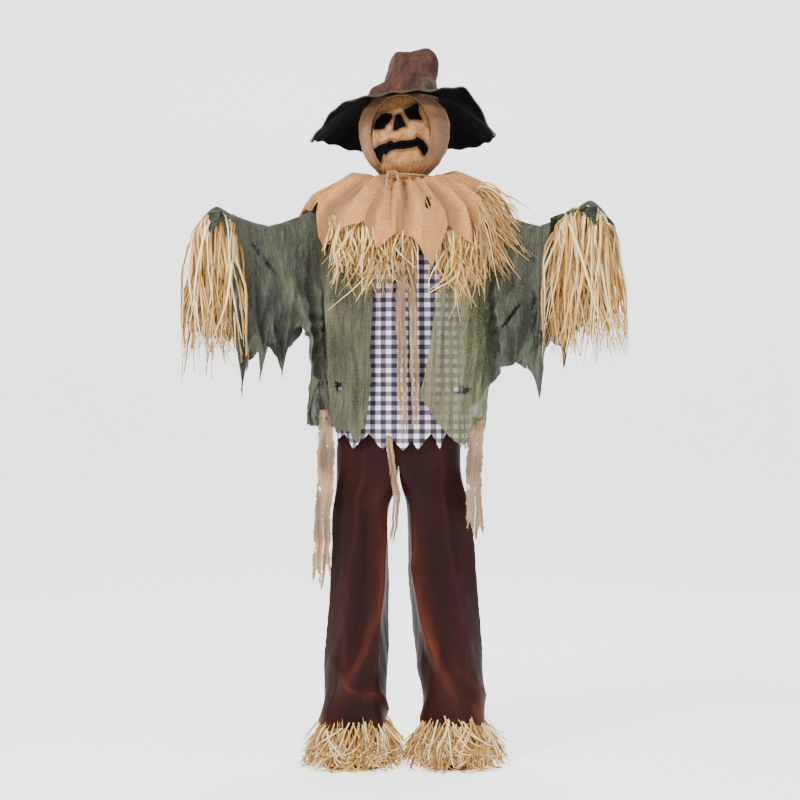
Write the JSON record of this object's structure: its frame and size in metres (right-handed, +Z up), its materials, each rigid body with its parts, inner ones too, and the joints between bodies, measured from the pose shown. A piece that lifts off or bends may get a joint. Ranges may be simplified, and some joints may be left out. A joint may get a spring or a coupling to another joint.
{
  "type": "standing scarecrow figure",
  "caption": "Life-size standing scarecrow on a plug-together steel tube frame, with a sacking head, floppy hat, ragged clothes, straw hands and feet, and posable arms.",
  "frame": {"origin": "on the floor, midway between the two foot plates, which is the bottom centre of the whole figure's box", "axes": "+Z up; the figure faces -Y; +X is towards the arm on the right when seen from the front"},
  "size_m": [1.0378, 0.4937, 1.829],
  "materials": {
    "steel": "satin black powder coat",
    "zinc": "zinc plated",
    "burlap": "coarse open sacking weave",
    "jute": "twisted jute cord",
    "gauze": "dyed crinkled gauze, ragged",
    "gingham": "woven gingham check, matt",
    "satin": "dark brown satin sheen",
    "rag_gauze": "frayed loose gauze",
    "straw": "dry raffia strands",
    "felt": "brushed brown felt, near black underside",
    "head_plastic": "moulded, unpainted"
  },
  "bodies": {
    "stand": {"foot_plate_left": "steel", "lower_leg_tube_left": "steel", "upper_leg_tube_left": "steel", "straw_foot_left": "straw", "shoulder_bolt_left": "zinc", "shoulder_wing_nut_left": "zinc", "foot_plate_right": "steel", "lower_leg_tube_right": "steel", "upper_leg_tube_right": "steel", "straw_foot_right": "straw", "shoulder_bolt_right": "zinc", "shoulder_wing_nut_right": "zinc", "hip_bar": "steel", "spine_tube": "steel", "shoulder_bar": "steel", "trousers": "satin", "shirt": "gingham", "jacket": "gauze", "collar": "burlap", "neck_cord": "jute", "neck_cord_knot": "jute", "neck_cord_tail_long": "jute", "neck_cord_tail_short": "jute", "straw_chest_left": "straw", "straw_chest_right": "straw", "rag_left": "rag_gauze", "rag_right": "rag_gauze", "rag_centre_left": "rag_gauze", "rag_centre_right": "rag_gauze", "rag_crotch": "rag_gauze"},
    "head": {"neck_tube": "steel", "head_form": "head_plastic", "face_mask": "burlap", "hood": "burlap"},
    "hat": {"hat_crown": "felt", "hat_brim": "felt"},
    "upper_arm_left": {"shoulder_knuckle_left": "steel", "upper_arm_tube_left": "steel", "elbow_fork_left": "steel", "elbow_bolt_left": "zinc", "elbow_wing_nut_left": "zinc", "sleeve_upper_left": "gauze"},
    "forearm_left": {"elbow_tongue_left": "steel", "forearm_tube_left": "steel", "sleeve_lower_left": "gauze", "straw_hand_left": "straw"},
    "upper_arm_right": {"shoulder_knuckle_right": "steel", "upper_arm_tube_right": "steel", "elbow_fork_right": "steel", "elbow_bolt_right": "zinc", "elbow_wing_nut_right": "zinc", "sleeve_upper_right": "gauze", "straw_shoulder_right": "straw"},
    "forearm_right": {"elbow_tongue_right": "steel", "forearm_tube_right": "steel", "sleeve_lower_right": "gauze", "straw_hand_right": "straw"}
  },
  "joints": [
    {"name": "head_swivel", "type": "hinge", "parent": "stand", "child": "head", "pos_m": [0, 0, 1.46], "axis": [0, 0, 1], "range_deg": [-60, 60]},
    {"name": "hat_lift", "type": "slide", "parent": "head", "child": "hat", "axis": [0, 0, 1], "range_m": [0, 0.15]},
    {"name": "shoulder_swing_left", "type": "hinge", "parent": "stand", "child": "upper_arm_left", "pos_m": [-0.185, 0, 1.3984], "axis": [0, 0, 1], "range_deg": [-35, 20], "deforming": ["sleeve_upper_left"]},
    {"name": "shoulder_swing_right", "type": "hinge", "parent": "stand", "child": "upper_arm_right", "pos_m": [0.185, 0, 1.3984], "axis": [0, 0, -1], "range_deg": [-35, 20], "deforming": ["sleeve_upper_right"]},
    {"name": "elbow_bend_left", "type": "hinge", "parent": "upper_arm_left", "child": "forearm_left", "pos_m": [-0.33795, -0.1071, 1.34389], "axis": [-0.5736, 0.8192, 0], "range_deg": [-20, 35], "deforming": ["sleeve_lower_left"]},
    {"name": "elbow_bend_right", "type": "hinge", "parent": "upper_arm_right", "child": "forearm_right", "pos_m": [0.33795, -0.1071, 1.34389], "axis": [-0.5736, -0.8192, 0], "range_deg": [-20, 35], "deforming": ["sleeve_lower_right"]}
  ]
}
